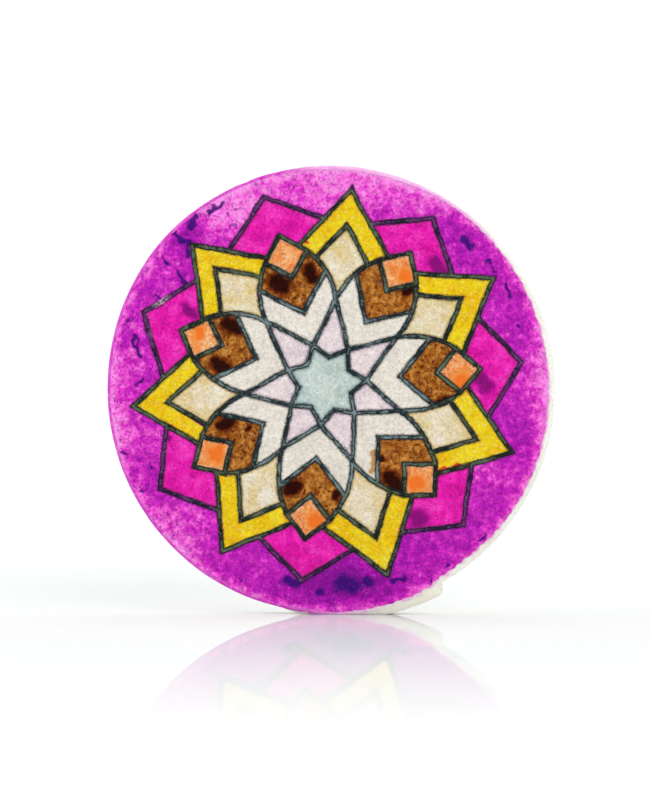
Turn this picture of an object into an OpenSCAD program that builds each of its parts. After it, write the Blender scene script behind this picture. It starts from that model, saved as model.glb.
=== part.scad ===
// Round ink cake: a pale, crystalline stone-like disc that stands on its rim, with a seven-armed
// rosette drawn on its face in dark line and filled in with coloured ink.
// X runs to the right across the face, the face looks along -Y, and Z is up.
// The origin is on the standing surface, under the middle of the disc.

/* [Disc] */
// Diameter of the flat, decorated face
face_d = 60; // [50:0.5:80]
// Thickness from the face to the back
thick = 7; // [5:0.1:12]
// Radius of the worn edge round the face
face_edge_r = 0.45; // [0.3:0.05:1]
// Radius of the worn edge round the back
back_edge_r = 0.6; // [0.45:0.05:1.2]

/* [Rough lip on the rim] */
// Height at which the lip holds the rim above the surface
rim_lift = 0.24; // [0.1:0.02:0.4]
// How far the lip stands out from the rim at its end
lip_out = 1.35; // [1:0.05:1.6]
// Where the lip fades in, in degrees round the rim
lip_from = -102; // [-106:1:-98]
// Where the lip ends in a step, in degrees round the rim
lip_to = -61; // [-64:1:-56]
// Distance from the lip's sides to the worn edges
lip_margin = 0.05; // [0:0.05:0.5]

/* [Ink] */
// Depth that the coloured ink has soaked into the face
stain_t = 0.25; // [0.15:0.05:0.6]
// Height of the dry line above the face
line_proud = 0.07; // [0.02:0.01:0.2]
// Width of the drawn line
line_w = 0.58; // [0.4:0.02:0.7]

/* [Rosette] */
// Middle of the rosette, to the right of the middle of the face
rosette_x = -0.35; // [-0.6:0.05:0.6]
// Middle of the rosette, above the middle of the face
rosette_z = 0.68; // [-0.7:0.02:0.7]
// Turn of the first petal above the horizontal
petal_turn = 5.8; // [0:0.1:51]
// Reach of the centre star's points
star_tip = 5.6; // [5.2:0.1:6.2]
// Reach of the centre star's notches
star_notch = 3.7; // [3.2:0.1:4.2]
// Distance to the crossings between petals
crossing_r = 11.25; // [10.8:0.05:11.6]
// Outward bow of a petal's side
petal_bow = 0.8; // [0.5:0.1:1]
// Distance to the inner corner of the brown square
brown_r = 10.13; // [9.8:0.1:10.5]
// Distance to the middle of the orange square
orange_r = 18.25; // [18:0.05:18.5]
// Half of the orange square's diagonal
orange_half = 3; // [2.8:0.05:3.2]
// Reach of the beige points
beige_tip = 21.9; // [21.6:0.1:22.4]
// Reach of the yellow points
yellow_tip = 26.9; // [26.6:0.1:27.4]
// Reach of the magenta points
magenta_tip = 26.9; // [26.5:0.1:27.4]
// Half of the angle at a yellow or beige point
yellow_half = 36; // [34:1:38]
// Half of the angle at a magenta point
magenta_half = 52; // [49:1:55]

/* [Hidden] */
arms = 7;
step = 360 / arms;
// The rosette is drawn for a 60 mm face and grows with it
grow = face_d / 60;
face_r = face_d / 2;
rim_r = face_r + face_edge_r;
axis_z = rim_r + rim_lift;
arc_parts = 8;
lip_parts = 16;
round_fn = 120;
// Lengths that carry a corner's sides past the lines that they end on
petal_span = 9;
point_leg = 11.2;
beige_leg = 9;
magenta_leg = 9.5;
// Inside this radius the rosette's own patches cover the face
covered_r = 21;

// How far the hand strayed on each arm, in degrees and in millimetres
petal_lean = [0, -0.2, -1.2, -0.3, 0.4, -0.5, 0.4];
crossing_lean = [1.8, 0.1, -0.7, 0.8, -1.2, 0.8, 0.3];
crossing_slip = [0.3, 0.5, 0.6, -0.1, -0.7, -0.2, -0.5];
yellow_lean = [0.6, -0.6, -0.5, 0.7, 0.8, -0.5, -0.2];
yellow_slip = [0.1, -0.1, -0.5, -0.2, 0, 0.3, 0.1];
magenta_lean = [0.5, 0, 0.9, -1.2, 0.2, 0.5, -0.4];

PER_ARM = ["lilac_kite", "cream_petal", "brown_square", "orange_square", "beige_kite", "yellow_point",
           "magenta_point"];

// ---- Points of the rosette ----

function arm(k) = (k + arms) % arms;
function polar(r, a) = [r * cos(a), r * sin(a)];
function petal_a(k) = petal_turn + k * step + petal_lean[arm(k)];
function point_a(k) = petal_turn + (k + 0.5) * step + yellow_lean[arm(k)];
function crossing_a(k) = petal_turn + (k + 0.5) * step + crossing_lean[arm(k)];
function star_point(k) = polar(star_tip, petal_a(k));
function star_dip(k) = polar(star_notch, petal_turn + (k + 0.5) * step);
function crossing(k) = polar(crossing_r + crossing_slip[arm(k)], crossing_a(k));
function yellow_r(k) = yellow_tip + yellow_slip[arm(k)];
// A point u out along petal k and v to its left
function on_petal(k, u, v) = [u * cos(petal_a(k)) - v * sin(petal_a(k)),
                              u * sin(petal_a(k)) + v * cos(petal_a(k))];
function backwards(list) = [for (i = [len(list) - 1:-1:0]) list[i]];

// Points on a bow from p to q that swells to the left by sag, moved out by off
function bow(p, q, sag, off = 0) =
    let (along = (q - p) / norm(q - p),
         left = [-along[1], along[0]],
         half = norm(q - p) / 2,
         r = (half * half + sag * sag) / (2 * sag),
         reach = asin(half / r),
         mid = (p + q) / 2 - left * (r - sag))
    [for (i = [0:arc_parts])
        let (a = reach * (2 * i / arc_parts - 1))
        mid + (r + off) * (left * cos(a) + along * sin(a))];

function left_side(k, off = 0) = bow(crossing(k), on_petal(k, orange_r, orange_half), petal_bow, off);
function right_side(k, off = 0) = bow(on_petal(k, orange_r, -orange_half), crossing(k - 1), petal_bow, off);

// ---- Outlines, to the middle of the drawn lines ----

module petal_outline(k) {
    polygon(concat([star_point(k)], backwards(right_side(k)), backwards(left_side(k))));
}

module square_outline(k, middle, half) {
    rotate(petal_a(k)) translate([middle, 0]) polygon([[half, 0], [0, half], [-half, 0], [0, -half]]);
}

module orange_outline(k) {
    square_outline(k, orange_r, orange_half);
}

module brown_outline(k) {
    intersection() {
        petal_outline(k);
        square_outline(k, brown_r + petal_span, petal_span);
    }
}

// The star and the kites in the middle, out to the crossings
module centre_outline() {
    polygon([for (k = [0:arms - 1]) each [star_point(k), crossing(k)]]);
}

// A point between petals at reach r, closed at the crossing inside it
module point_outline(k, r, leg) {
    a = point_a(k);
    sides = [for (s = [-1, 1]) polar(r, a) + leg * polar(-1, a + s * yellow_half)];
    polygon([polar(r, a), sides[0], crossing(k), sides[1]]);
}

module yellow_reach(k) {
    point_outline(k, yellow_r(k), point_leg);
}

module petals_about(k) {
    for (i = [k, k + 1]) {
        petal_outline(i);
        orange_outline(i);
    }
}

module yellow_outline(k) {
    difference() {
        yellow_reach(k);
        petals_about(k);
    }
}

module beige_outline(k) {
    difference() {
        point_outline(k, beige_tip, beige_leg);
        petals_about(k);
    }
}

module magenta_outline(k) {
    a = petal_a(k) + magenta_lean[arm(k)];
    sides = [for (s = [-1, 1]) polar(magenta_tip, a) + magenta_leg * polar(-1, a + s * magenta_half)];
    difference() {
        polygon([polar(magenta_tip, a), sides[0], on_petal(k, orange_r, 0), sides[1]]);
        petal_outline(k);
        orange_outline(k);
        yellow_reach(k);
        yellow_reach(k - 1);
    }
}

// ---- Drawn lines ----

module stroke(p, q) {
    along = (q - p) / norm(q - p);
    across = [-along[1], along[0]] * line_w / 2;
    over = along * line_w / 3;
    polygon([p - over - across, q + over - across, q + over + across, p - over + across]);
}

module bow_stroke(outside, inside) {
    polygon(concat(outside, backwards(inside)));
}

// A bent stroke with its corner at reach r; way is 1 where it opens inwards and -1 where it opens out
module corner_stroke(r, h, leg, way) {
    miter = line_w / 2 / sin(h);
    back = [for (s = [1, -1]) [r - way * leg * cos(h), s * leg * sin(h)]];
    side = [for (s = [1, -1]) [way * sin(h), s * cos(h)] * line_w / 2];
    polygon([[r + way * miter, 0], back[0] + side[0], back[0] - side[0], [r - way * miter, 0],
             back[1] - side[1], back[1] + side[1]]);
}

module star_strokes(k) {
    stroke(star_point(k), star_dip(k));
    stroke(star_point(k), star_dip(k - 1));
    stroke(star_point(k), crossing(k));
    stroke(star_point(k), crossing(k - 1));
}

module petal_strokes(k) {
    bow_stroke(left_side(k, line_w / 2), left_side(k, -line_w / 2));
    bow_stroke(right_side(k, line_w / 2), right_side(k, -line_w / 2));
    difference() {
        square_outline(k, orange_r, orange_half + line_w / sqrt(2));
        square_outline(k, orange_r, orange_half - line_w / sqrt(2));
    }
    intersection() {
        petal_outline(k);
        rotate(petal_a(k)) corner_stroke(brown_r, 45, petal_span, -1);
    }
}

module point_strokes(k) {
    difference() {
        rotate(point_a(k)) {
            corner_stroke(yellow_r(k), yellow_half, point_leg, 1);
            corner_stroke(beige_tip, yellow_half, beige_leg, 1);
        }
        petals_about(k);
    }
}

module magenta_strokes(k) {
    difference() {
        rotate(petal_a(k) + magenta_lean[arm(k)]) corner_stroke(magenta_tip, magenta_half, magenta_leg, 1);
        yellow_reach(k);
        yellow_reach(k - 1);
    }
}

module strokes(k) {
    star_strokes(k);
    petal_strokes(k);
    point_strokes(k);
    magenta_strokes(k);
}

// ---- Placing ----

// Stands a shape drawn flat, face up, on the rim with its face to -Y
module stand() {
    translate([0, 0, axis_z]) rotate([90, 0, 0]) children();
}

// Draws children on the face of the disc, deep below it and proud above it
module on_face(deep, proud = 0) {
    stand() translate([0, 0, thick / 2 - deep]) linear_extrude(deep + proud) children();
}

module at_rosette() {
    translate([rosette_x, rosette_z] * grow) scale(grow) children();
}

// One patch of colour: its outline less the drawn lines of arm k and its neighbours
module patch(k) {
    on_face(stain_t) at_rosette() difference() {
        children();
        for (i = [k - 1:k + 1]) strokes(i);
    }
}

// ---- Sub-parts ----

module blank() {
    rotate_extrude($fn = round_fn) {
        translate([0, -thick / 2]) square([rim_r - back_edge_r, thick]);
        translate([0, -thick / 2 + back_edge_r]) square([rim_r, thick - back_edge_r - face_edge_r]);
        translate([rim_r - back_edge_r, -thick / 2 + back_edge_r]) circle(back_edge_r, $fn = 48);
        translate([face_r, thick / 2 - face_edge_r]) circle(face_edge_r, $fn = 48);
        translate([face_r - back_edge_r, 0]) square([back_edge_r, thick / 2]);
    }
}

// The lip rises steeply at first, and its edge is uneven
module lip() {
    turn = lip_to - lip_from;
    outside = [for (i = [0:lip_parts])
        let (t = i / lip_parts)
        polar(rim_r + lip_out * pow(t, 0.62) * (1 + 0.06 * sin(900 * t)), lip_from + turn * t)];
    translate([0, 0, -thick / 2 + back_edge_r + lip_margin])
        linear_extrude(thick - back_edge_r - face_edge_r - 2 * lip_margin)
            polygon(concat([polar(rim_r - 2, lip_from)], outside, [polar(rim_r - 2, lip_to)]));
}

module disc_body() {
    color("ivory") difference() {
        stand() {
            blank();
            lip();
        }
        stand() translate([0, 0, thick / 2 - stain_t]) cylinder(r = face_r, h = 2, $fn = round_fn);
        translate([-face_r, -thick, -2]) cube([face_d, 2 * thick, 2]);
    }
}

module line_work() {
    color("darkslategray") on_face(stain_t, line_proud) at_rosette() for (k = [0:arms - 1]) strokes(k);
}

module centre_star() {
    color("lightgray") on_face(stain_t) at_rosette() difference() {
        polygon([for (k = [0:arms - 1]) each [star_point(k), star_dip(k)]]);
        for (k = [0:arms - 1]) star_strokes(k);
    }
}

module outer_field() {
    color("mediumvioletred") on_face(stain_t) difference() {
        circle(face_r, $fn = round_fn);
        at_rosette() {
            circle(covered_r, $fn = round_fn);
            centre_outline();
            for (k = [0:arms - 1]) {
                petal_outline(k);
                orange_outline(k);
                yellow_reach(k);
                magenta_outline(k);
                strokes(k);
            }
        }
    }
}

module lilac_kite(k) {
    color("thistle") patch(k) polygon([star_dip(k), star_point(k), crossing(k), star_point(k + 1)]);
}

module cream_petal(k) {
    color("linen") patch(k) difference() {
        petal_outline(k);
        brown_outline(k);
        orange_outline(k);
    }
}

module brown_square(k) {
    color("peru") patch(k) difference() {
        brown_outline(k);
        orange_outline(k);
    }
}

module orange_square(k) {
    color("sandybrown") patch(k) orange_outline(k);
}

module beige_kite(k) {
    color("wheat") patch(k) beige_outline(k);
}

module yellow_point(k) {
    color("gold") patch(k) difference() {
        yellow_outline(k);
        beige_outline(k);
    }
}

module magenta_point(k) {
    color("deeppink") patch(k) magenta_outline(k);
}

disc_body();
line_work();
centre_star();
outer_field();
for (k = [0:arms - 1]) {
    lilac_kite(k);
    cream_petal(k);
    brown_square(k);
    orange_square(k);
    beige_kite(k);
    yellow_point(k);
    magenta_point(k);
}
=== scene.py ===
"""Looks of a round ink cake: a pale crystalline disc with a rosette drawn and washed on its face.

The frame is the CAD's: X to the right, Y into the disc, Z up. Lengths are in millimetres here and
become metres when a mesh is made. Flat outlines on the face are (x, z) points.
"""
import math

import bpy
import numpy as np
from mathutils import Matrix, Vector, noise
from mathutils.geometry import delaunay_2d_cdt
from mathutils.kdtree import KDTree


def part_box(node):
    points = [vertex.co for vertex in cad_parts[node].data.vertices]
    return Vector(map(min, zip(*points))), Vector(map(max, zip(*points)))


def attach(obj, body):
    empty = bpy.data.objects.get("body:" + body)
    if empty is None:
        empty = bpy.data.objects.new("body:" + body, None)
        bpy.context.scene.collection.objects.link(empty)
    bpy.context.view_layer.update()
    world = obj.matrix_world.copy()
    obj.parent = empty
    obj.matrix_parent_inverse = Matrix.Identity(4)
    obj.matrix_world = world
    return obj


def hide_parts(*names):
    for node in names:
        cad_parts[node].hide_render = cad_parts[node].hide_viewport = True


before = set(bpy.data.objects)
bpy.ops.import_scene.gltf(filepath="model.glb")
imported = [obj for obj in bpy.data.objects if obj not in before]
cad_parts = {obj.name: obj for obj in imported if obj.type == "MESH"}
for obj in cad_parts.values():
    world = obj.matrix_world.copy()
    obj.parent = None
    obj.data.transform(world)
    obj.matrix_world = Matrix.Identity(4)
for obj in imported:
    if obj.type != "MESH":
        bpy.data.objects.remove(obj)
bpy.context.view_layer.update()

MM = 0.001


def box_mm(node):
    low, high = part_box(node)
    return np.array(low) / MM, np.array(high) / MM


BODY_LOW, BODY_HIGH = box_mm("disc_body")
FIELD_HIGH = box_mm("outer_field")[1]
FRONT_Y, BACK_Y = BODY_LOW[1], BODY_HIGH[1]
RIM_R = BODY_HIGH[0]
AXIS_Z = BODY_HIGH[2] - RIM_R
FACE_R = FIELD_HIGH[0]
PATCH_BACK_Y = FIELD_HIGH[1]
LINE_BACK_Y = box_mm("line_work")[1][1]

BACK_EDGE_R = 0.6          # worn edge round the back
UNDER_LINE = 0.18          # how far a wash runs on under the drawn line
GRAIN_STEP = 0.24          # size of the crystals that the washed face is built from
GRAIN_RELIEF = 0.011       # how far the crystals stand out of the face
JITTER = 0.22              # how far inner points leave their rows, as a part of the step
SLIVER = 0.05              # outlines of a smaller area are dropped, mm2
RIM_STEP = 0.4             # along a wash's edge at the rim
LINE_STEP = 0.17
LINE_HALF = 0.29           # half of the drawn line's width
RIM_TURNS = 500            # columns of the body's wall round the rim
RIM_ROW = 0.32             # height of the wall's rows, across the thickness
BACK_STEP = 0.9            # between inner points of the back
LIP_OUT = 1.35             # the rough lip on the rim, as in the CAD
LIP_FROM, LIP_TO = 258, 298.5    # degrees round the disc
CHIPS = (                  # in the body's edges, (degrees round the disc, y, depth)
    (36, 3.4, 0.3), (152, 3.3, 0.25), (201, 3.5, 0.35), (338, 3.4, 0.3),
    (112, -3.3, 0.12), (20, -3.3, 0.1))
GRAIN = 0.3                # size of the crystals in the materials
FINE_GRAIN = 0.15          # size of the painted glints in the materials: near-white crystals that stand in for highlights

rng = np.random.default_rng(7)


def srgb(red, green, blue):
    """A colour given as 0 to 255 in sRGB, as linear RGBA."""
    return tuple(((c / 255 + 0.055) / 1.055) ** 2.4 if c > 10 else c / 255 / 12.92
                 for c in (red, green, blue)) + (1.0,)


# ---- Outlines from the CAD ----

def front_loops(node):
    """Outlines of a CAD node's front face. Its solid is on the left of every edge."""
    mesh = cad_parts[node].data
    places = np.array([v.co for v in mesh.vertices]) / MM
    front = places[:, 1].min() + 0.001
    keys = [tuple(np.round(p, 4)) for p in places[:, [0, 2]]]
    edges = set()
    for face in mesh.polygons:
        if max(places[i, 1] for i in face.vertices) < front:
            corners = [keys[i] for i in face.vertices]
            edges.update(zip(corners, corners[1:] + corners[:1]))
    onward = {}
    for a, b in edges:
        if (b, a) not in edges:
            onward.setdefault(a, []).append(b)
    loops = []
    while onward:
        start = min(onward)
        loop, here = [], start
        while True:
            loop.append(here)
            there = onward[here].pop()
            if not onward[here]:
                del onward[here]
            here = there
            if here == start:
                break
        loops.append(np.array(loop))
    return [loop for loop in loops if area(loop) > SLIVER]


def area(loop):
    x, z = (loop - loop[0]).T
    return abs(np.sum(x * np.roll(z, -1) - z * np.roll(x, -1))) / 2


def edges_of(loop):
    return zip(loop, np.roll(loop, -1, axis=0))


def divided(loop, step):
    """The loop with its edges cut into pieces no longer than step."""
    points = []
    for a, b in edges_of(loop):
        parts = max(1, math.ceil(np.linalg.norm(b - a) / step))
        points += [a + (b - a) * i / parts for i in range(parts)]
    return np.array(points)


def grown(loop, amount):
    """The loop with its edges moved out of the solid, less the corners that lie close together."""
    kept = [loop[0]]
    for point in loop[1:]:
        if min(np.linalg.norm(point - kept[-1]), np.linalg.norm(point - loop[0])) > 2 * amount:
            kept.append(point)
    kept = np.array(kept)
    ahead = np.roll(kept, -1, axis=0) - kept
    ahead /= np.linalg.norm(ahead, axis=1)[:, None]
    right = np.stack([ahead[:, 1], -ahead[:, 0]], axis=1)
    before = np.roll(right, 1, axis=0)
    fold = 1 + np.sum(right * before, axis=1)
    return kept + amount * (right + before) / np.maximum(fold, 0.35)[:, None]


def inside(points, loops):
    """Whether each point is in the solid: a ray from it crosses the loops an odd number of times."""
    order = np.argsort(points[:, 1])
    x, z = points[order].T
    odd = np.zeros(len(points), bool)
    for loop in loops:
        for (ax, az), (bx, bz) in edges_of(loop):
            start, end = np.searchsorted(z, (min(az, bz), max(az, bz)))
            if start < end:
                beside = slice(start, end)
                odd[beside] ^= x[beside] < ax + (bx - ax) * (z[beside] - az) / (bz - az)
    found = np.zeros(len(points), bool)
    found[order] = odd
    return found


def distance(points, loops):
    """Distance from each point to the nearest edge of the loops, to about a hundredth."""
    marks = np.concatenate([divided(loop, 0.04) for loop in loops])
    tree = KDTree(len(marks))
    for i, mark in enumerate(marks):
        tree.insert((*mark, 0), i)
    tree.balance()
    return np.array([tree.find((*point, 0))[2] for point in points])


def fill(loops, step=None):
    """(points, triangles) that fill the loops, with inner points step apart or none at all."""
    loops = [np.float32(loop).astype(float) for loop in loops]
    inner = np.zeros((0, 2))
    if step:
        corners = np.concatenate(loops)
        low, high = corners.min(axis=0), corners.max(axis=0)
        rows = np.arange(low[1], high[1], step * math.sqrt(0.75))
        inner = np.array([(x + step / 2 * (i % 2), z) for i, z in enumerate(rows)
                          for x in np.arange(low[0], high[0], step)])
        inner += rng.uniform(-JITTER, JITTER, inner.shape) * step
        inner = inner[inside(inner, loops)]
        inner = inner[distance(inner, loops) > 0.5 * step]
    edges, start = [], 0
    for loop in loops:
        edges += [(start + i, start + (i + 1) % len(loop)) for i in range(len(loop))]
        start += len(loop)
    points = [Vector(p) for p in np.concatenate(list(loops) + [inner])]
    found = delaunay_2d_cdt(points, edges, [], 0, 1e-6)
    points, triangles = np.array([tuple(p) for p in found[0]]), np.array(found[2])
    return points, triangles[inside(points[triangles].mean(axis=1), loops)]


# ---- Shapes given one by one ----

def bump(angle, centre, width):
    """1 at centre and falling to 0 about width degrees to each side."""
    away = (angle - centre + 180) % 360 - 180
    return np.exp(-(away / width) ** 2)


def ramp_between(value, start, end):
    t = np.clip((value - start) / (end - start), 0, 1)
    return t * t * (3 - 2 * t)


def rim_swell(angle):
    """How far the rim is from a true circle, by the angle in degrees round the disc."""
    foot = 0.36 * ramp_between(angle, 262, 272) * (1 - ramp_between(angle, 297, 299.5))
    return 0.2 * bump(angle, 140, 24) + 0.1 * bump(angle, 342, 12) + foot


def dye_dents(angle):
    """How far short of the rim the dye stops."""
    turn = np.radians(angle)
    right = 0.5 + 0.5 * np.cos(turn + 0.6)
    uneven = 0.07 * np.sin(97 * turn) * np.sin(41 * turn)
    uneven = uneven + 0.05 * np.sin(163 * turn) * np.sin(29 * turn)
    return 0.22 * bump(angle, 80, 16) + 0.36 * bump(angle, 308, 12) + uneven * (0.4 + right)


def by_hand(points):
    """Moves points on the face as the hand did: a slight waver of the lines, and the rim's shape."""
    x, z = points[:, 0], points[:, 1] - AXIS_Z
    waver_x = np.sin(0.9 * z + 1.7 * np.sin(0.31 * x)) + 0.6 * np.sin(2.3 * z + 0.8 * x)
    waver_z = np.sin(0.8 * x + 1.9 * np.sin(0.37 * z)) + 0.6 * np.sin(2.1 * x - 0.9 * z)
    r = np.hypot(x, z)
    angle = np.degrees(np.arctan2(z, x)) % 360
    pull = (rim_swell(angle) - dye_dents(angle)) * (r / FACE_R) ** 7
    calm = 1 - ramp_between(r, 27, 29.5)
    out = np.stack([x, z], axis=1) / np.maximum(r, 0.001)[:, None]
    waver = np.stack([waver_x, waver_z], axis=1)
    return points + 0.035 * waver * calm[:, None] + out * pull[:, None]


def rough(points, size, seed=0.0):
    """Smooth noise from about -1 to 1 at 3-D points, with features of the given size."""
    return np.array([noise.noise(Vector(p) / size + Vector((seed, 0, 0))) for p in points])


# ---- Meshes ----

def make_piece(name, points, faces, node, material, smooth=False, marks=None):
    """A closed mesh that stands for a CAD node. marks are values of each point for its material."""
    mesh = bpy.data.meshes.new(name)
    mesh.from_pydata((np.asarray(points) * MM).tolist(), [], [list(map(int, f)) for f in faces])
    mesh.polygons.foreach_set("use_smooth", [smooth] * len(mesh.polygons))
    for mark, values in (marks or {}).items():
        mesh.attributes.new(mark, "FLOAT", "POINT").data.foreach_set("value", values)
    mesh.materials.append(material)
    mesh.update()
    piece = bpy.data.objects.new(name, mesh)
    bpy.context.scene.collection.objects.link(piece)
    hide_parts(node)
    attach(piece, "root")
    return piece


def slab(node, loops, outline, step, height, back_y, move, material, smooth=False,
         more_marks=None):
    """A closed plate in the face: loops filled in, height(points, edge) in front of it, and moved."""
    points, triangles = fill(loops, step)
    under_points, under_triangles = fill(loops)
    edge = distance(points, outline) * inside(points, outline)
    front_y = FRONT_Y - height(points, edge)
    index = {tuple(np.round(p, 5)): i for i, p in enumerate(points)}
    match = [index[tuple(np.round(p, 5))] for p in under_points]
    under = {m: len(points) + i for i, m in enumerate(match)}
    sides = {(a, b) for t in triangles for a, b in ((t[0], t[1]), (t[1], t[2]), (t[2], t[0]))}
    walls = [(b, a, under[a], under[b]) for a, b in sides if (b, a) not in sides]
    faces = [tuple(t) for t in triangles]
    faces += [tuple(len(points) + i for i in t[::-1]) for t in under_triangles]
    both = np.concatenate([points, under_points])
    flat = move(both)
    y = np.concatenate([front_y, np.full(len(under_points), back_y)])
    solid = np.stack([flat[:, 0], y, flat[:, 1]], axis=1)
    kind = kind_of(node)
    marks = {"edge": np.concatenate([edge, np.zeros(len(under_points))]),
             "stain": stain(both, STAINS.get(kind, ())), "tone": tone(both, TONES.get(kind, ()))}
    if more_marks:
        marks.update(more_marks(both))
    return make_piece(node + "_look", solid, faces + sorted(walls), node, material, smooth, marks)


def stain(points, strokes):
    """How dark blots and brush marks are at each point. A stroke is (radius, point, point, ...)."""
    here = np.stack([points[:, 0], np.zeros(len(points)), points[:, 1] - AXIS_Z], axis=1)
    waver = np.stack([rough(here, 0.9, 31), rough(here, 0.9, 37)], axis=1)
    ragged = points - (0, AXIS_Z) + 0.45 * waver
    near = np.full(len(points), 9.0)
    for radius, *path in strokes:
        for a, b in zip(path, path[1:] or path):
            along = np.array(b) - a
            t = np.clip((ragged - a) @ along / max(along @ along, 1e-9), 0, 1)
            near = np.minimum(near, np.linalg.norm(ragged - a - t[:, None] * along, axis=1) / radius)
    return 1 - ramp_between(near, 0.15, 1.6)


def tone(points, zones):
    """How much deeper or paler a wash is at each point. A zone is as in TONES."""
    x, z = points[:, 0], points[:, 1] - AXIS_Z
    total = np.zeros(len(points))
    for amount, cx, cz, rx, rz in zones:
        total += amount * np.exp(-((x - cx) / rx) ** 2 - ((z - cz) / rz) ** 2)
    return total


def wash_height(points, edge):
    """Crystals that stand out of the washed face by a hair, each at its own height."""
    lie = 0.006 * np.sin(1.3 * points[:, 0] + 0.7 * points[:, 1])
    return lie + rng.uniform(-GRAIN_RELIEF, GRAIN_RELIEF, len(points))


def line_height(points, edge):
    """Dried ink: a bead along each side of the line and a shallow trough between them."""
    across = np.clip(edge / LINE_HALF, 0, 1)
    bead = np.sin(np.pi * np.clip(across / 0.9, 0, 1)) ** 0.7
    here = np.stack([points[:, 0], np.zeros(len(points)), points[:, 1]], axis=1)
    return 0.015 + 0.075 * bead * (1 + 0.35 * rough(here, 0.9)) + 0.012 * rough(here, 0.25, 9)


def fine_waver(points):
    """The uneven edge of a pen line on a rough face."""
    here = np.stack([points[:, 0], np.zeros(len(points)), points[:, 1]], axis=1)
    step = [0.07 * rough(here, 0.6, seed) + 0.05 * rough(here, 1.8, seed + 20) for seed in (3, 5)]
    return by_hand(points) + np.stack(step, axis=1)


def swelling(loop):
    """A line's outline, divided, and moved in and out so that the line gets thinner and thicker."""
    fine = divided(loop, LINE_STEP)
    ahead = np.roll(fine, -1, axis=0) - np.roll(fine, 1, axis=0)
    ahead /= np.linalg.norm(ahead, axis=1)[:, None]
    right = np.stack([ahead[:, 1], -ahead[:, 0]], axis=1)
    corner = np.array([np.linalg.norm(loop - point, axis=1).min() for point in fine])
    here = np.stack([fine[:, 0], np.zeros(len(fine)), fine[:, 1]], axis=1)
    thin = 0.05 * (1 - ramp_between(np.linalg.norm(fine - (0, AXIS_Z), axis=1), 9, 13))
    amount = (0.01 + 0.13 * rough(here, 2.2, 41) - thin) * ramp_between(corner, 0.02, 0.35)
    return fine + right * amount[:, None]


def make_wash(node, material):
    outline = front_loops(node)
    loops = []
    for loop in outline:
        if np.abs(np.hypot(loop[:, 0], loop[:, 1] - AXIS_Z) - FACE_R).max() < 0.01:
            loops.append(divided(loop, RIM_STEP))
        else:
            loops.append(divided(grown(loop, UNDER_LINE), GRAIN_STEP))
    return slab(node, loops, outline, GRAIN_STEP, wash_height, PATCH_BACK_Y, by_hand, material)


def beside_magenta(points):
    """Where a line runs between magenta and the outer wash, with no yellow or brown beside it."""
    warm = ("yellow_point", "orange_square", "brown_square")
    loops = [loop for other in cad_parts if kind_of(other) in warm
             for loop in front_loops(other)]
    far_out = ramp_between(np.linalg.norm(points - (0, AXIS_Z), axis=1), 15, 17)
    return {"violet": ramp_between(distance(points, loops), 0.5, 0.9) * far_out}


def make_lines(node, material):
    outline = front_loops(node)
    loops = [swelling(loop) for loop in outline]
    return slab(node, loops, loops, LINE_STEP, line_height, LINE_BACK_Y, fine_waver, material,
                smooth=True, more_marks=beside_magenta)


def body_profile():
    """(radius, y) points from behind the washes, over the front edge and the rim, to the back."""
    front_edge = RIM_R - FACE_R
    points = [(FACE_R, PATCH_BACK_Y), (FACE_R, FRONT_Y)]
    for i in range(1, 6):
        a = math.radians(90 - 18 * i)
        points.append((FACE_R + front_edge * math.cos(a), FRONT_Y + front_edge * (1 - math.sin(a))))
    wall = BACK_Y - BACK_EDGE_R - points[-1][1]
    rows = round(wall / RIM_ROW)
    points += [(RIM_R, points[-1][1] + wall * i / rows) for i in range(1, rows)]
    for i in range(6):
        a = math.radians(18 * i)
        inward, forward = BACK_EDGE_R * (1 - math.cos(a)), BACK_EDGE_R * (1 - math.sin(a))
        points.append((RIM_R - inward, BACK_Y - forward))
    return points


def body_out(radius, y, angle):
    """How far the body's surface is moved outward there: the rim's shape, the lip and a few chips."""
    lip = np.clip((angle - LIP_FROM) / (LIP_TO - LIP_FROM), 0, 1) ** 0.62
    lip = lip * (1 - ramp_between(angle, LIP_TO, LIP_TO + 1))
    lip = lip * ramp_between(y, -3.2, -2.75) * (1 - ramp_between(y, 2.6, 3.1))
    in_face = 1 - np.clip((radius - FACE_R) / (RIM_R - FACE_R), 0, 1) * (y > FRONT_Y)
    chips = sum(depth * bump(angle, turn, 1.3) * math.exp(-((y - where) / 0.5) ** 2)
                for turn, where, depth in CHIPS)
    swell = rim_swell(angle) * (1 - 0.8 * lip) * (radius / FACE_R) ** 7
    return swell - dye_dents(angle) * in_face + LIP_OUT * lip - chips


def make_body(node, material):
    profile = body_profile()
    turns = RIM_TURNS
    angles = 360 * np.arange(turns) / turns
    rings = []
    for k, (radius, y) in enumerate(profile):
        a = np.radians(angles)
        here = np.stack([radius * np.cos(a), np.full(turns, y), radius * np.sin(a)], axis=1)
        out = body_out(radius, y, angles)
        if k > 2:
            out += 0.05 * rough(here, 4.5, 2) + 0.02 * rough(here, 1.1, 6)
            here[:, 1] += 0.02 * rough(here, 1.2, 4)
        r = radius + out
        here[:, 0], here[:, 2] = r * np.cos(a), AXIS_Z + r * np.sin(a)
        rings.append(here)
    points = np.concatenate(rings)
    faces = []
    for k in range(len(profile) - 1):
        for i in range(turns):
            j = (i + 1) % turns
            faces.append(((k + 1) * turns + i, (k + 1) * turns + j, k * turns + j, k * turns + i))
    points, faces = capped(points, faces, np.arange(turns), FRONT_Y, None)
    last = (len(profile) - 1) * turns
    points, faces = capped(points, faces, last + np.arange(turns), BACK_Y, BACK_STEP)
    points[:, 2] = np.maximum(points[:, 2], 0)
    return make_piece(node + "_look", points, faces, node, material, smooth=True)


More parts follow.
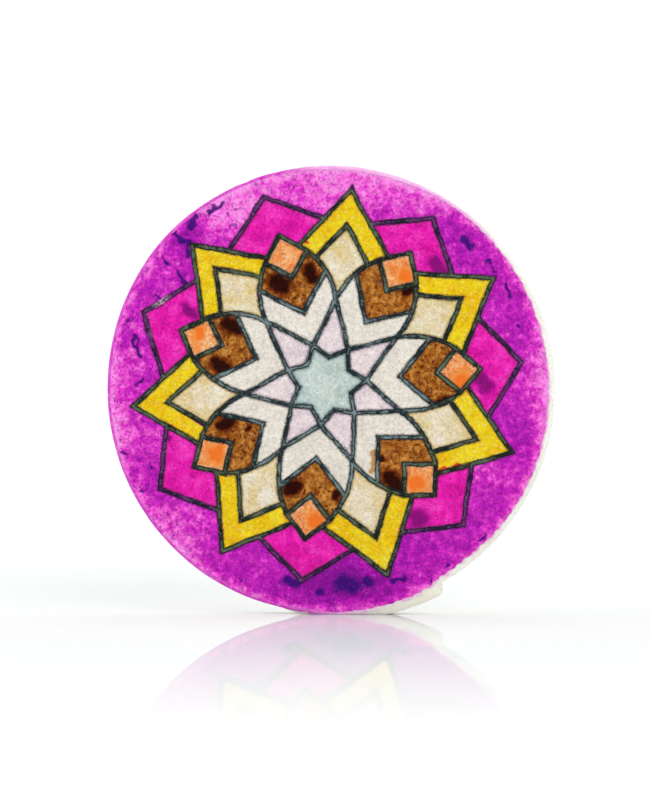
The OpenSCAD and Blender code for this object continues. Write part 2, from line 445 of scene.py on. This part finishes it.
def capped(points, faces, ring, y, step):
    """Closes the body's mesh across a ring of its points, with inner points step apart."""
    loop = points[ring][:, [0, 2]]
    flat, triangles = fill([loop], step)
    index = {tuple(np.round(p, 5)): ring[i] for i, p in enumerate(np.float32(loop).astype(float))}
    names, added = [], []
    for p in flat:
        key = tuple(np.round(p, 5))
        if key not in index:
            index[key] = len(points) + len(added)
            added.append((p[0], y, p[1]))
        names.append(index[key])
    back = y > 0
    if added:
        added = np.array(added)
        dish = np.clip((FACE_R - np.hypot(added[:, 0], added[:, 2] - AXIS_Z)) / 2, 0, 1)
        added[:, 1] -= dish * (0.03 + 0.05 * rough(added, 5, 11) + 0.02 * rough(added, 1.1, 12))
        points = np.concatenate([points, added])
    order = -1 if back else 1
    return points, faces + [tuple(names[i] for i in t[::order]) for t in triangles]


# ---- Materials ----

class Graph:
    """A material's node tree. Any input may be a plain value or another node's output."""

    def __init__(self, name):
        self.material = bpy.data.materials.new(name)
        self.material.use_nodes = True
        self.tree = self.material.node_tree
        self.tree.nodes.clear()
        where = self.node("ShaderNodeTexCoord").outputs["Object"]
        self.place = self.vector("SCALE", where, Scale=1 / MM)

    def node(self, kind, inputs=(), **settings):
        node = self.tree.nodes.new(kind)
        for key, value in settings.items():
            setattr(node, key, value)
        for key, value in dict(inputs).items():
            if isinstance(value, bpy.types.NodeSocket):
                self.tree.links.new(value, node.inputs[key])
            else:
                node.inputs[key].default_value = value
        return node

    def vector(self, operation, a, b=None, **named):
        inputs = {0: a, **named}
        if b is not None:
            inputs[1] = b
        node = self.node("ShaderNodeVectorMath", inputs, operation=operation)
        return node.outputs["Value" if operation in ("DISTANCE", "LENGTH") else "Vector"]

    def math(self, operation, a, b=0.0, clamp=False):
        node = self.node("ShaderNodeMath", {0: a, 1: b}, operation=operation, use_clamp=clamp)
        return node.outputs[0]

    def noise(self, size, detail=2.0, roughness=0.5, distortion=0.0, place=None):
        inputs = {"Vector": place or self.place, "Scale": 1 / size, "Detail": detail,
                  "Roughness": roughness, "Distortion": distortion}
        return self.node("ShaderNodeTexNoise", inputs).outputs["Fac"]

    def step(self, value, start, end, low=0.0, high=1.0):
        """value taken smoothly from low at start to high at end."""
        inputs = {0: value, 1: start, 2: end, 3: low, 4: high}
        return self.node("ShaderNodeMapRange", inputs, interpolation_type="SMOOTHSTEP").outputs[0]

    def mix(self, amount, a, b, blend="MIX"):
        node = self.node("ShaderNodeMix", {0: amount, 6: a, 7: b}, data_type="RGBA", blend_type=blend)
        return node.outputs[2]

    def colours(self, value, *stops):
        """A colour ramp through (position, colour) stops."""
        node = self.node("ShaderNodeValToRGB", {0: value})
        ramp = node.color_ramp
        while len(ramp.elements) < len(stops):
            ramp.elements.new(0.5)
        for element, (position, colour) in zip(ramp.elements, stops):
            element.position, element.color = position, colour
        return node.outputs[0]

    def mark(self, name):
        return self.node("ShaderNodeAttribute", attribute_name=name).outputs["Fac"]

    def crystals(self, size):
        """(three random values of each crystal as colour, its parts, distance from its middle)"""
        inputs = {"Vector": self.place, "Scale": 1 / size, "Randomness": 1.0}
        node = self.node("ShaderNodeTexVoronoi", inputs)
        split = self.node("ShaderNodeSeparateColor", {0: node.outputs["Color"]})
        return node.outputs["Color"], split.outputs, node.outputs["Distance"]

    def uneven(self, tint, lean, height, deep, relief):
        """A normal: each crystal tilted its own way by its tint, with a relief of deep mm on it."""
        tilt = self.vector("SCALE", self.vector("SUBTRACT", tint, (0.5, 0.5, 0.5)), Scale=lean)
        facing = self.node("ShaderNodeNewGeometry").outputs["Normal"]
        facing = self.vector("NORMALIZE", self.vector("ADD", facing, tilt))
        inputs = {"Height": height, "Distance": deep * MM, "Strength": relief, "Normal": facing}
        return self.node("ShaderNodeBump", inputs).outputs["Normal"]

    def grain(self, colour, contrast, painted_glint_share, painted_glint_strength, lean, relief=0.5):
        """(colour, normal, roughness) of crystals, each a little lighter or darker and tilted, with a
        few painted glints: crystals mixed towards white as painted highlights.
        """
        _, values, middle = self.crystals(GRAIN)
        low, high = (1 - contrast,) * 3 + (1,), (1 + contrast,) * 3 + (1,)
        colour = self.mix(1.0, colour, self.colours(values[0], (0.0, low), (1.0, high)), "MULTIPLY")
        fine_tint, fine, _ = self.crystals(FINE_GRAIN)
        # Painted highlights: a few fine crystals are mixed towards white in the base colour, as
        # glints
        painted_glints = self.step(fine[0], 1 - painted_glint_share, 1 - painted_glint_share / 2, 0.0, painted_glint_strength)
        colour = self.mix(painted_glints, colour, srgb(255, 252, 250))
        height = self.math("ADD", self.noise(0.3, 3), self.math("MULTIPLY", middle, 0.6))
        normal = self.uneven(fine_tint, lean, height, 0.05, relief)
        return colour, normal, self.step(values[2], 0.0, 1.0, 0.2, 0.4)

    def bled(self, most):
        """How much of the line's ink has crept in among the crystals beside the line."""
        broad = self.math("MULTIPLY", self.noise(1.0, 2), 0.3)
        creep = self.math("ADD", self.math("MULTIPLY", self.noise(0.27, 3, 0.7), 0.6), broad)
        return self.step(self.math("ADD", self.mark("edge"), creep), 0.74, 0.42, 0.0, most)

    def finish(self, colour, roughness, normal, **fixed):
        inputs = {"Base Color": colour, "Roughness": roughness, "Normal": normal}
        inputs.update({key.replace("_", " "): value for key, value in fixed.items()})
        shader = self.node("ShaderNodeBsdfPrincipled", {"Specular IOR Level": 0.15, **inputs})
        self.node("ShaderNodeOutputMaterial", {"Surface": shader.outputs[0]})
        return self.material


def wash(name, light, mid, deep, speck, specks=0.5, cloud=2.6, stained=None, fringe=None, edge=None,
         edge_width=0.5, patchy_edge=False, contrast=0.12, painted_glint_share=0.1, painted_glint_strength=0.3, pore=0.34,
         lean=0.3, gloss=0.13):
    """Ink soaked into crystals: clouds of light and deep colour, specks in pores, and bright grains
    that are painted glints (painted highlights).
    """
    g = Graph(name)
    clouds = g.math("ADD", g.noise(cloud, 5, 0.62, 0.4), g.mark("tone"))
    colour = g.colours(clouds, (0.34, light), (0.5, mid), (0.68, deep))
    reach = g.math("ADD", g.mark("edge"), g.math("MULTIPLY", g.noise(0.8, 3), 0.5))
    if edge:
        amount = g.step(reach, 0.3 + edge_width, 0.25)
        if patchy_edge:
            amount = g.math("MULTIPLY", amount, g.step(g.noise(3.5, 2), 0.5, 0.68))
        colour = g.mix(amount, colour, edge)
    pores = g.math("ADD", g.noise(pore, 2, 0.6), g.math("MULTIPLY", clouds, 0.25))
    colour = g.mix(g.step(pores, 0.66, 0.78, 0.0, specks), colour, speck)
    colour, normal, roughness = g.grain(colour, contrast, painted_glint_share, painted_glint_strength, lean)
    if stained:
        blot = g.math("ADD", g.mark("stain"), g.math("MULTIPLY", g.noise(0.5, 4, 0.7), 0.7))
        colour = g.mix(g.step(blot, 0.45, 0.95), colour, fringe or stained)
        colour = g.mix(g.step(blot, 0.85, 1.2), colour, stained)
    colour = g.mix(g.bled(0.85), colour, (0.012, 0.02, 0.022, 1))
    return g.finish(colour, roughness, normal, Subsurface_Weight=0.12,
                    Subsurface_Radius=(1.0, 0.8, 0.7), Subsurface_Scale=0.0006,
                    Specular_IOR_Level=gloss)


def line_ink():
    """Dark line with darker edges: blue-black in the middle, then green-black, violet by magenta."""
    g = Graph("line_ink_dried")
    flat = g.vector("MULTIPLY", g.place, (1, 0, 1))
    reach = g.vector("DISTANCE", flat, (-0.35, 0, AXIS_Z + 0.68))
    reach = g.step(g.math("ADD", reach, g.math("MULTIPLY", g.noise(1.5, 2), 3.0)), 14.5, 18.5)
    violet = g.mark("violet")
    dark = g.mix(violet, g.mix(reach, srgb(4, 26, 32), srgb(6, 18, 14)), srgb(18, 4, 40))
    pale = g.mix(violet, g.mix(reach, srgb(116, 136, 138), srgb(84, 98, 74)), srgb(98, 44, 106))
    patchy = g.noise(2.4, 4, 0.7)
    streaks = g.noise(0.24, 3, 0.65)
    ragged = g.math("MULTIPLY", g.math("ADD", streaks, g.noise(1.1, 2)), 0.28)
    core = g.step(g.math("ADD", g.mark("edge"), ragged), 0.36, 0.48)
    worn = g.math("MULTIPLY", core, g.step(patchy, 0.42, 0.58, 0.05, 0.95))
    colour = g.mix(worn, dark, pale)
    faded = g.step(g.math("ADD", g.noise(4.0, 2), g.mark("tone")), 0.7, 0.95, 0.0, 0.9)
    faded = g.math("MULTIPLY", faded, g.step(streaks, 0.38, 0.56))
    colour = g.mix(faded, colour, srgb(196, 168, 186))
    fine_tint, fine, _ = g.crystals(FINE_GRAIN)
    # Painted highlights: a few fine crystals on the line are mixed towards pale grey, as glints
    colour = g.mix(g.step(fine[0], 0.95, 0.99, 0.0, 0.15), colour, srgb(190, 200, 196))
    normal = g.uneven(fine_tint, 0.4, g.noise(0.18, 3), 0.03, 0.6)
    return g.finish(colour, g.step(patchy, 0.3, 0.7, 0.22, 0.4), normal)


def pale_body():
    """Cream crystals, faintly translucent, tinted where the ink ran over the worn front edge, paler
    towards the bottom as painted light against the shade by the floor, with a few painted glints.
    """
    g = Graph("pale_crystal")
    colour = g.colours(g.noise(5, 4, 0.6), (0.35, srgb(237, 235, 227)), (0.65, srgb(227, 223, 209)))
    parts = g.node("ShaderNodeSeparateXYZ", {0: g.place}).outputs
    # Paler towards the bottom: painted light that lifts the shade on the lower rim next to the floor
    colour = g.mix(g.step(parts["Z"], 9.0, 2.0, 0.0, 0.7), colour, srgb(242, 240, 224))
    ran = g.math("ADD", parts["Y"], g.math("MULTIPLY", g.noise(1.2, 4), 0.9))
    left = g.step(parts["X"], 10.0, -6.0)
    top = g.step(parts["Z"], AXIS_Z + 18, AXIS_Z + 27)
    top = g.math("MULTIPLY", top, g.step(parts["X"], -7.0, 0.0))
    ink = g.mix(top, srgb(208, 50, 190), srgb(240, 160, 224))
    amount = g.math("MAXIMUM", left, g.math("MULTIPLY", top, 0.8))
    colour = g.mix(g.math("MULTIPLY", g.step(ran, -2.3, -2.8), amount), colour, ink)
    colour = g.mix(g.step(ran, -2.9, -3.15, 0.0, 0.55), colour, srgb(236, 122, 222))
    colour, normal, roughness = g.grain(colour, 0.04, 0.06, 0.3, lean=0.12, relief=0.25)
    return g.finish(colour, roughness, normal, Subsurface_Weight=0.4,
                    Subsurface_Radius=(1.0, 0.85, 0.6), Subsurface_Scale=0.0018)


def field_wash():
    """The wash round the rosette: pink and magenta clouds, deep specks, violet and indigo blots."""
    g = Graph("outer_wash")
    clouds = g.noise(1.1, 4, 0.62, 0.2)
    broad = g.noise(6.0, 4, 0.55, place=g.vector("ADD", g.place, (3.0, 0.0, 8.0)))
    out = g.vector("DISTANCE", g.vector("MULTIPLY", g.place, (1, 0, 1)), (0, 0, AXIS_Z))
    shade = g.math("ADD", g.math("MULTIPLY", clouds, 0.6), g.math("MULTIPLY", broad, 0.3))
    shade = g.math("ADD", g.math("ADD", shade, 0.06), g.mark("tone"))
    at_rim = g.step(g.math("ADD", out, g.math("MULTIPLY", g.noise(0.9, 3), 1.2)), 29.4, 30.7)
    shade = g.math("SUBTRACT", g.math("ADD", shade, 0.025), g.math("MULTIPLY", at_rim, 0.13))
    colour = g.colours(shade, (0.3, srgb(242, 142, 222)), (0.42, srgb(236, 94, 206)),
                       (0.5, srgb(214, 48, 192)), (0.6, srgb(186, 24, 180)),
                       (0.75, srgb(136, 10, 152)), (0.95, srgb(92, 6, 136)))
    pores = g.math("ADD", g.noise(0.36, 3, 0.65), g.math("MULTIPLY", shade, 0.4))
    colour = g.mix(g.step(pores, 0.66, 0.84, 0.0, 0.65), colour, srgb(140, 8, 142))
    left = g.step(g.node("ShaderNodeSeparateXYZ", {0: g.place}).outputs["X"], 14.0, -14.0, 0.15, 0.7)
    drops = g.math("MULTIPLY", g.step(g.noise(0.62, 2, 0.4), 0.63, 0.72), left)
    colour = g.mix(drops, colour, srgb(112, 6, 146))
    colour, normal, roughness = g.grain(colour, 0.18, 0.03, 0.05, lean=0.2)
    blot = g.math("ADD", g.mark("stain"), g.math("MULTIPLY", g.noise(0.5, 4, 0.65), 0.8))
    colour = g.mix(g.step(blot, 0.45, 1.25, 0.0, 0.95), colour, srgb(52, 4, 110))
    by_line = g.math("MULTIPLY", g.bled(0.7), g.step(out, 29.0, 28.0))
    colour = g.mix(by_line, colour, (0.03, 0.01, 0.05, 1))
    return g.finish(colour, roughness, normal, Subsurface_Weight=0.12,
                    Subsurface_Radius=(1.0, 0.7, 0.9), Subsurface_Scale=0.0006,
                    Specular_IOR_Level=0.1)


# Blots and brush marks, (radius, point, ...), in (x, z) from the middle of the disc
STAINS = {
    "outer_field": (
        (0.55, (-18.2, 23.4), (-18.8, 22.0)),
        (0.4, (-20.9, 21.3), (-20.2, 20.4), (-19.2, 20.0), (-19.3, 18.2)),
        (0.3, (-14.4, 25.4), (-16.4, 24.0)), (0.25, (-22.6, 18.0), (-22.0, 16.8)),
        (0.22, (-20.6, 16.2), (-20.2, 14.9), (-19.4, 14.2)),
        (0.2, (-23.6, 12.9), (-22.4, 12.0), (-21.2, 12.0)),
        (0.18, (-26.6, 7.6), (-26.9, 6.0), (-26.2, 4.9), (-25.9, 4.4)),
        (0.18, (-26.5, 7.8), (-26.1, 6.0), (-26.0, 4.6)), (1.3, (1.8, -26.3), (3.4, -26.5)),
        (0.9, (5.4, -26.0)), (0.55, (-1.1, -27.4)), (0.6, (-5.8, -26.0), (-4.4, -26.5)),
        (0.6, (18.6, 20.2), (19.4, 19.5)), (0.3, (24.2, 14.3), (24.8, 12.6)),
        (0.25, (-28.4, -8.6), (-27.6, -8.8)), (0.3, (-25.5, 1.6), (-26.6, 0.4)),
        (0.25, (8.6, -26.2), (10.2, -25.4)), (0.3, (26.0, 8.6)), (0.25, (-24.4, -10.8)),
        (0.25, (-25.6, -14.0)), (0.25, (22.6, 16.0), (21.8, 17.4)), (0.25, (14.0, -26.2)),
        (0.25, (16.4, -24.2)), (0.25, (20.8, -20.6), (21.8, -20.0)), (0.25, (-12.0, -26.0)),
        (0.3, (-27.6, 9.2)), (0.3, (-25.2, 9.0), (-24.8, 8.2)), (0.4, (3.2, 27.6), (3.4, 26.8))),
    "brown_square": (
        (1.7, (-7.0, 14.6), (-6.4, 14.2)), (1.1, (-2.7, 16.4), (-2.2, 15.2)), (0.4, (-4.4, 10.8)),
        (0.9, (10.8, 13.4), (12.4, 13.9)), (0.7, (12.6, 12.3)), (1.0, (10.9, 0.2), (12.6, -1.4)),
        (0.8, (15.9, -1.5), (14.4, -2.6)), (1.4, (8.4, -12.2), (9.6, -13.6)), (0.6, (7.0, -9.4)),
        (1.2, (-5.2, -13.6), (-4.4, -13.2)), (0.7, (1.0, -14.6), (2.0, -13.4)),
        (1.2, (-14.4, -4.8), (-13.6, -4.2)), (0.6, (-11.0, -5.4)),
        (1.3, (-13.8, 8.8), (-12.8, 8.4)), (1.3, (-15.2, 3.4), (-14.4, 3.0)), (0.5, (-10.8, 3.4))),
    "magenta_point": (
        (1.3, (21.6, 0.4), (20.6, 1.4)), (1.1, (14.4, 17.2), (15.6, 15.8)), (0.6, (-10.6, -20.4)),
        (1.7, (12.4, -17.6)), (0.6, (-22.0, -6.8)), (0.8, (-18.4, 10.2), (-19.6, 11.2))),
    "orange_square": (
        (1.2, (-3.2, 17.8)), (1.3, (10.4, 15.4)), (1.4, (18.2, 1.2)), (1.5, (12.0, -12.8)),
        (1.4, (-1.8, -17.8)), (1.6, (-15.4, -8.8)), (1.1, (-17.8, 7.6))),
    "yellow_point": (
        (0.4, (-22.9, -4.6), (-21.4, -5.3)), (0.35, (-15.4, -12.2), (-15.4, -14.4)),
        (0.3, (14.6, -11.1), (18.2, -10.4)), (0.3, (-18.0, 12.6), (-17.9, 10.4)),
        (0.3, (-3.3, 20.6), (-2.6, 20.0))),
    "cream_petal": ((0.55, (6.4, -8.6), (6.2, -11.0)),),
}
# Deeper and paler zones of a wash, (amount, x, z, radius along x, radius along z)
TONES = {
    "outer_field": (
        (0.26, 1.5, -26.2, 7.5, 3.0), (0.08, 13, -22.5, 6, 4), (0.03, 25.5, -6, 4, 6),
        (0.06, 20, 19, 4.5, 4), (0.06, 26, 10, 4, 5), (-0.16, 4, 28, 9, 3.5),
        (-0.17, -12.5, 25, 7, 4), (0.16, -20, 21.5, 2.6, 3), (-0.03, -26.5, 3, 3, 6),
        (-0.12, -21.5, -19.5, 5, 5), (-0.1, -29, -5, 2, 8), (0.12, -22, -13, 3, 5),
        (-0.08, 13.5, 25.5, 4, 2), (-0.1, 29, 0, 1.5, 12), (0.03, -19.5, 14.5, 3, 4)),
    "beige_kite": (
        (0.14, 0.2, 22.5, 5, 3.5), (0.12, 17.5, 12.5, 3.5, 3.5), (0.14, 21.5, -6.5, 3.5, 3.5),
        (0.1, 9.0, -19.5, 3.5, 3.5), (0.02, -10.5, -19, 3, 3), (0.1, -21.5, -3.5, 3.5, 3.5),
        (0.04, -16, 15, 3.5, 3.5)),
    "line_work": (
        (0.3, -3.2, 3.6, 1.3, 1.1), (0.35, -23, 11.5, 3, 4), (0.25, -18.5, -13.6, 5, 2),
        (0.2, -20, 17, 4, 2.5), (0.2, 14, -21, 3, 2)),
}

MATERIALS = {
    "disc_body": pale_body,
    "line_work": line_ink,
    "outer_field": field_wash,
    "centre_star": lambda: wash(
        "star_wash", srgb(196, 207, 202), srgb(186, 199, 193), srgb(171, 188, 183),
        srgb(148, 168, 164), 0.5, edge=srgb(154, 176, 172), edge_width=0.6),
    "lilac_kite": lambda: wash(
        "lilac_wash", srgb(228, 214, 216), srgb(220, 205, 207), srgb(208, 192, 199),
        srgb(190, 172, 180), 0.4, edge=srgb(202, 188, 196)),
    "cream_petal": lambda: wash(
        "cream_wash", srgb(224, 218, 208), srgb(220, 213, 202), srgb(211, 204, 192),
        srgb(190, 178, 160), 0.25, stained=srgb(182, 142, 90), fringe=srgb(214, 197, 166),
        painted_glint_share=0.16),
    "beige_kite": lambda: wash(
        "beige_wash", srgb(226, 218, 202), srgb(218, 205, 172), srgb(211, 186, 120),
        srgb(202, 168, 100), 0.35, cloud=3.5, edge=srgb(212, 188, 130), edge_width=0.5),
    "brown_square": lambda: wash(
        "brown_wash", srgb(194, 136, 62), srgb(158, 94, 30), srgb(112, 52, 8), srgb(80, 24, 2),
        0.85, cloud=0.8, stained=srgb(40, 6, 0), fringe=srgb(104, 42, 6), contrast=0.2,
        painted_glint_share=0.03, painted_glint_strength=0.1, pore=0.45, lean=0.2, gloss=0.06),
    "orange_square": lambda: wash(
        "orange_wash", srgb(232, 174, 120), srgb(226, 144, 78), srgb(217, 117, 42),
        srgb(216, 90, 24), 0.5, cloud=1.6, stained=srgb(230, 114, 36), fringe=srgb(230, 142, 70),
        edge=srgb(236, 178, 130), edge_width=0.3, contrast=0.16, painted_glint_share=0.1, painted_glint_strength=0.3,
        gloss=0.08),
    "yellow_point": lambda: wash(
        "yellow_wash", srgb(228, 206, 40), srgb(225, 195, 20), srgb(224, 176, 8), srgb(218, 146, 8),
        0.4, cloud=3.0, stained=srgb(214, 52, 34), fringe=srgb(226, 140, 24),
        edge=srgb(222, 116, 24), edge_width=0.2, patchy_edge=True, painted_glint_share=0.05, painted_glint_strength=0.25,
        gloss=0.08),
    "magenta_point": lambda: wash(
        "magenta_wash", srgb(234, 60, 184), srgb(224, 24, 168), srgb(200, 8, 146),
        srgb(160, 4, 120), 0.6, cloud=3.2, stained=srgb(134, 6, 114), fringe=srgb(184, 10, 148),
        edge=srgb(190, 12, 140), edge_width=0.3, patchy_edge=True, painted_glint_share=0.03, painted_glint_strength=0.06,
        lean=0.2, gloss=0.1),
}


def kind_of(node):
    """The material a node takes: its name, less an arm's number."""
    return node if node in MATERIALS else node.rsplit("_", 1)[0]


# ---- Stage ----

def make_floor():
    """A pale glossy table top. Its gloss fades out away from the object. Its colour is painted shade
    near the object, darker and greener there, and painted light far away, paler there.
    """
    g = Graph("table_top")
    away = g.vector("LENGTH", g.vector("MULTIPLY", g.place, (1, 1, 0)))
    gloss = g.step(away, 10.0, 260.0, 0.52, 0.0)
    fresnel = g.node("ShaderNodeFresnel", {"IOR": 1.4}).outputs[0]
    amount = g.math("MULTIPLY", gloss, fresnel, clamp=True)
    # Painted shade and light: a darker, greener grey near the object and a paler grey far from it
    pale = g.mix(g.step(away, 60.0, 400.0), srgb(236, 239, 238), srgb(248, 248, 248))
    matt = g.node("ShaderNodeBsdfDiffuse", {"Color": pale})
    shiny = g.node("ShaderNodeBsdfGlossy", {"Color": (1, 1, 1, 1), "Roughness": 0.015})
    both = g.node("ShaderNodeMixShader", {0: amount, 1: matt.outputs[0], 2: shiny.outputs[0]})
    g.node("ShaderNodeOutputMaterial", {"Surface": both.outputs[0]})
    half = 6.0             # m
    mesh = bpy.data.meshes.new("table_top")
    corners = [(-half, -half, 0), (half, -half, 0), (half, half, 0), (-half, half, 0)]
    mesh.from_pydata(corners, [], [(0, 1, 2, 3)])
    mesh.materials.append(g.material)
    floor = bpy.data.objects.new("table_top", mesh)
    bpy.context.scene.collection.objects.link(floor)


def aimed(name, data, place, toward):
    """A new light or camera at a place, in metres, that looks in the direction toward."""
    thing = bpy.data.objects.new(name, data)
    thing.location = place
    thing.rotation_euler = Vector(toward).to_track_quat("-Z", "Y").to_euler()
    bpy.context.scene.collection.objects.link(thing)
    return thing


def make_sparkle(name, place, size, power):
    """A small square light aimed at the middle of the disc, for the glints of the crystals."""
    data = bpy.data.lights.new(name, "AREA")
    data.size, data.energy = size, power
    aimed(name, data, place, Vector((0, 0, AXIS_Z * MM)) - Vector(place))


def make_sun(name, toward, strength, angle):
    """A soft light that shines in one direction everywhere."""
    data = bpy.data.lights.new(name, "SUN")
    data.energy, data.angle = strength, math.radians(angle)
    aimed(name, data, (0, 0, 0), toward)


def make_lights():
    """A white room, dark behind the camera, with soft suns from the front and the left."""
    world = bpy.data.worlds.new("white_room")
    world.use_nodes = True
    tree = world.node_tree
    where = tree.nodes.new("ShaderNodeTexCoord")
    split = tree.nodes.new("ShaderNodeSeparateXYZ")
    grade = tree.nodes.new("ShaderNodeMapRange")
    grade.interpolation_type = "SMOOTHSTEP"
    for key, value in (("From Min", -0.9), ("From Max", -0.6), ("To Min", 0.04), ("To Max", 1.03)):
        grade.inputs[key].default_value = value
    tree.links.new(where.outputs["Generated"], split.inputs[0])
    tree.links.new(split.outputs["Y"], grade.inputs["Value"])
    tree.links.new(grade.outputs[0], tree.nodes["Background"].inputs["Strength"])
    tree.nodes["Background"].inputs["Color"].default_value = (1, 1, 1, 1)
    bpy.context.scene.world = world
    make_sun("front_sun", (-0.32, 0.87, -0.4), 1.15, 25)
    make_sun("side_sun", (1.0, -0.15, -0.5), 0.4, 40)
    make_sparkle("front_sparkle", (-0.16, -0.6, 0.3), 0.03, 0.05)


def make_camera():
    """Level with the disc and a little to its right, so that the rim shows along the right side."""
    side, away, frame_height = 6.5, 620.0, 108.9      # degrees, and mm at the disc's face
    data = bpy.data.cameras.new("camera")
    data.sensor_fit, data.sensor_height = "VERTICAL", 24
    data.lens = data.sensor_height * (away + FRONT_Y) / frame_height
    aim = Vector((-0.84, 0.0, AXIS_Z - 1.46)) * MM
    a = math.radians(side)
    place = aim + Vector((math.sin(a), -math.cos(a), 0)) * away * MM
    bpy.context.scene.camera = aimed("camera", data, place, aim - place)


def main():
    made = {kind: make() for kind, make in MATERIALS.items()}
    for node in sorted(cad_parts):
        kind = kind_of(node)
        builder = {"disc_body": make_body, "line_work": make_lines}.get(kind, make_wash)
        builder(node, made[kind])
    make_floor()
    make_lights()
    make_camera()
    bpy.context.scene.view_settings.view_transform = "Standard"


main()
